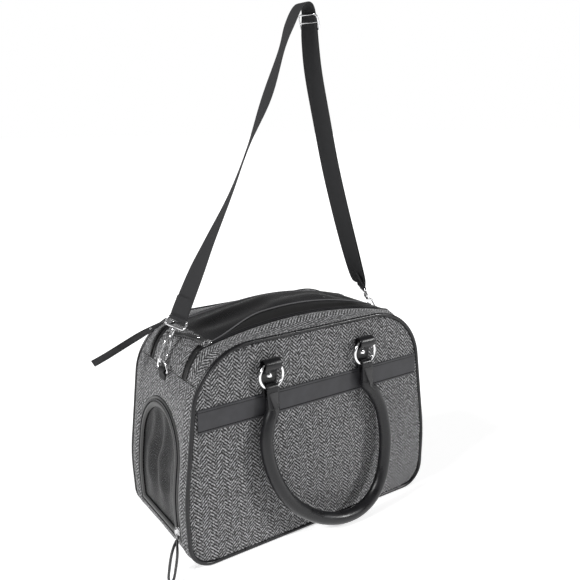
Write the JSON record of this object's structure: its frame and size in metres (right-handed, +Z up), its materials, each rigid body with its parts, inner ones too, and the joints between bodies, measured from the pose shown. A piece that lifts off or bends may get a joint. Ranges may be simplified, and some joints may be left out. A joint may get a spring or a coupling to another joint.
{
  "type": "pet carrier bag",
  "caption": "Soft pet carrier bag in tweed with a mesh roof flap, a mesh end door, two rolled handles on rings and a clip-on shoulder strap.",
  "frame": {"origin": "centre of the base, on the surface that the bag stands on", "axes": "+X along the bag's length towards the end without a door, -Y towards the front face, +Z up"},
  "size_m": [0.4817, 0.2644, 0.7393],
  "materials": {
    "tweed": "grey herringbone weave, matt",
    "leather": "black grained leather look, semi-gloss",
    "band": "dark grey smooth leather look, satin",
    "mesh": "black knitted mesh",
    "zip": "black coil zip tape",
    "webbing": "black ribbed webbing",
    "chrome": "polished",
    "board": "matt",
    "fleece": "soft grey pile"
  },
  "bodies": {
    "bag": {"base_panel": "tweed", "base_board": "board", "base_mat": "fleece", "front_panel": "tweed", "rear_panel": "tweed", "front_piping": "leather", "rear_piping": "leather", "front_band": "band", "rear_band": "band", "front_roof_strip": "tweed", "rear_roof_strip": "tweed", "front_zip_tape": "zip", "rear_zip_tape": "zip", "left_shoulder": "tweed", "right_shoulder": "tweed", "left_end_panel": "tweed", "right_end_panel": "tweed", "door_zip_tape": "zip", "left_strap_tab": "webbing", "right_strap_tab": "webbing", "front_left_ring_tab": "leather", "front_left_rivet": "chrome", "front_right_ring_tab": "leather", "front_right_rivet": "chrome", "rear_left_ring_tab": "leather", "rear_left_rivet": "chrome", "rear_right_ring_tab": "leather", "rear_right_rivet": "chrome"},
    "front_rings": {"front_left_ring": "chrome", "front_right_ring": "chrome"},
    "front_grip": {"front_handle": "leather", "front_left_handle_loop": "leather", "front_right_handle_loop": "leather"},
    "rear_rings": {"rear_left_ring": "chrome", "rear_right_ring": "chrome"},
    "rear_grip": {"rear_handle": "leather", "rear_left_handle_loop": "leather", "rear_right_handle_loop": "leather"},
    "flap": {"flap_mesh": "mesh", "flap_end_band": "tweed", "flap_front_tape": "zip", "flap_rear_tape": "zip"},
    "door": {"door_mesh": "mesh", "door_binding": "zip"},
    "front_zip_pull": {"front_slider": "chrome"},
    "rear_zip_pull": {"rear_slider": "chrome"},
    "door_zip_pull": {"door_slider": "chrome"},
    "front_tassel": {"front_pull": "leather"},
    "rear_tassel": {"rear_pull": "leather"},
    "door_tassel": {"door_pull": "leather"},
    "strap": {"shoulder_strap": "webbing", "left_hook": "chrome", "left_hook_eye": "chrome", "right_hook": "chrome", "right_hook_eye": "chrome"},
    "strap_adjuster": {"strap_slide": "chrome"},
    "left_gate": {"left_hook_gate": "chrome"},
    "right_gate": {"right_hook_gate": "chrome"},
    "left_dee": {"left_dee_ring": "chrome"},
    "right_dee": {"right_dee_ring": "chrome"}
  },
  "joints": [
    {"name": "front_ring_swing", "type": "hinge", "parent": "bag", "child": "front_rings", "pos_m": [0, -0.1043, 0.269], "axis": [-1, 0, 0], "range_deg": [0, 170]},
    {"name": "front_handle_swing", "type": "hinge", "parent": "front_rings", "child": "front_grip", "pos_m": [0, -0.1043, 0.2367], "axis": [-1, 0, 0], "range_deg": [0, 25]},
    {"name": "rear_ring_swing", "type": "hinge", "parent": "bag", "child": "rear_rings", "pos_m": [0, 0.1043, 0.269], "axis": [1, 0, 0], "range_deg": [0, 170]},
    {"name": "rear_handle_swing", "type": "hinge", "parent": "rear_rings", "child": "rear_grip", "pos_m": [0, 0.1043, 0.2367], "axis": [1, 0, 0], "range_deg": [0, 25]},
    {"name": "flap_open", "type": "hinge", "parent": "bag", "child": "flap", "pos_m": [0.15, 0, 0.29823], "axis": [0, 1, 0], "range_deg": [0, 75], "deforming": ["shoulder_strap"]},
    {"name": "door_open", "type": "hinge", "parent": "bag", "child": "door", "pos_m": [-0.207, 0, 0.036], "axis": [0, -1, 0], "range_deg": [0, 95]},
    {"name": "front_slider_travel", "type": "hinge", "parent": "bag", "child": "front_zip_pull", "pos_m": [0, -0.0606, -0.326], "axis": [0, 1, 0], "range_deg": [0, 25]},
    {"name": "rear_slider_travel", "type": "hinge", "parent": "bag", "child": "rear_zip_pull", "pos_m": [0, 0.0606, -0.326], "axis": [0, 1, 0], "range_deg": [0, 25]},
    {"name": "door_slider_travel", "type": "hinge", "parent": "bag", "child": "door_zip_pull", "pos_m": [0.2588, 0, 0.075], "axis": [0, 1, 0], "range_deg": [0, 12]},
    {"name": "front_pull_lift", "type": "hinge", "parent": "front_zip_pull", "child": "front_tassel", "pos_m": [-0.15363, -0.0606, 0.30476], "axis": [0.9927, 0.1203, 0], "range_deg": [0, 100]},
    {"name": "rear_pull_lift", "type": "hinge", "parent": "rear_zip_pull", "child": "rear_tassel", "pos_m": [-0.16159, 0.0606, 0.30151], "axis": [0, 1, 0], "range_deg": [0, 40]},
    {"name": "door_pull_lift", "type": "hinge", "parent": "door_zip_pull", "child": "door_tassel", "pos_m": [-0.21404, -0.071, 0.044], "axis": [-0.7848, 0.6198, 0], "range_deg": [0, 110]},
    {"name": "strap_swing", "type": "hinge", "parent": "bag", "child": "strap", "pos_m": [0, 0, 0.25374], "axis": [1, 0, 0], "range_deg": [-20, 10]},
    {"name": "strap_slide_travel", "type": "slide", "parent": "strap", "child": "strap_adjuster", "axis": [0.1458, 0, -0.9893], "range_m": [0, 0.1]},
    {"name": "left_gate_press", "type": "hinge", "parent": "strap", "child": "left_gate", "pos_m": [-0.17421, 0, 0.29275], "axis": [0, 1, 0], "range_deg": [0, 18], "stiffness_Nm_per_rad": 0.01, "springref_deg": -5.73},
    {"name": "right_gate_press", "type": "hinge", "parent": "strap", "child": "right_gate", "pos_m": [0.17252, 0, 0.29156], "axis": [0, -1, 0], "range_deg": [0, 18], "stiffness_Nm_per_rad": 0.01, "springref_deg": -5.73},
    {"name": "left_dee_tilt", "type": "hinge", "parent": "bag", "child": "left_dee", "pos_m": [-0.1892, 0, 0.25374], "axis": [0, 1, 0], "range_deg": [-1, 4]},
    {"name": "right_dee_tilt", "type": "hinge", "parent": "bag", "child": "right_dee", "pos_m": [0.1892, 0, 0.25374], "axis": [0, 1, 0], "range_deg": [-4, 1]}
  ],
  "couplings": [
    {"joint": "front_pull_lift", "follows": "front_slider_travel", "ratio": 4},
    {"joint": "rear_pull_lift", "follows": "rear_slider_travel", "ratio": 1.6}
  ]
}
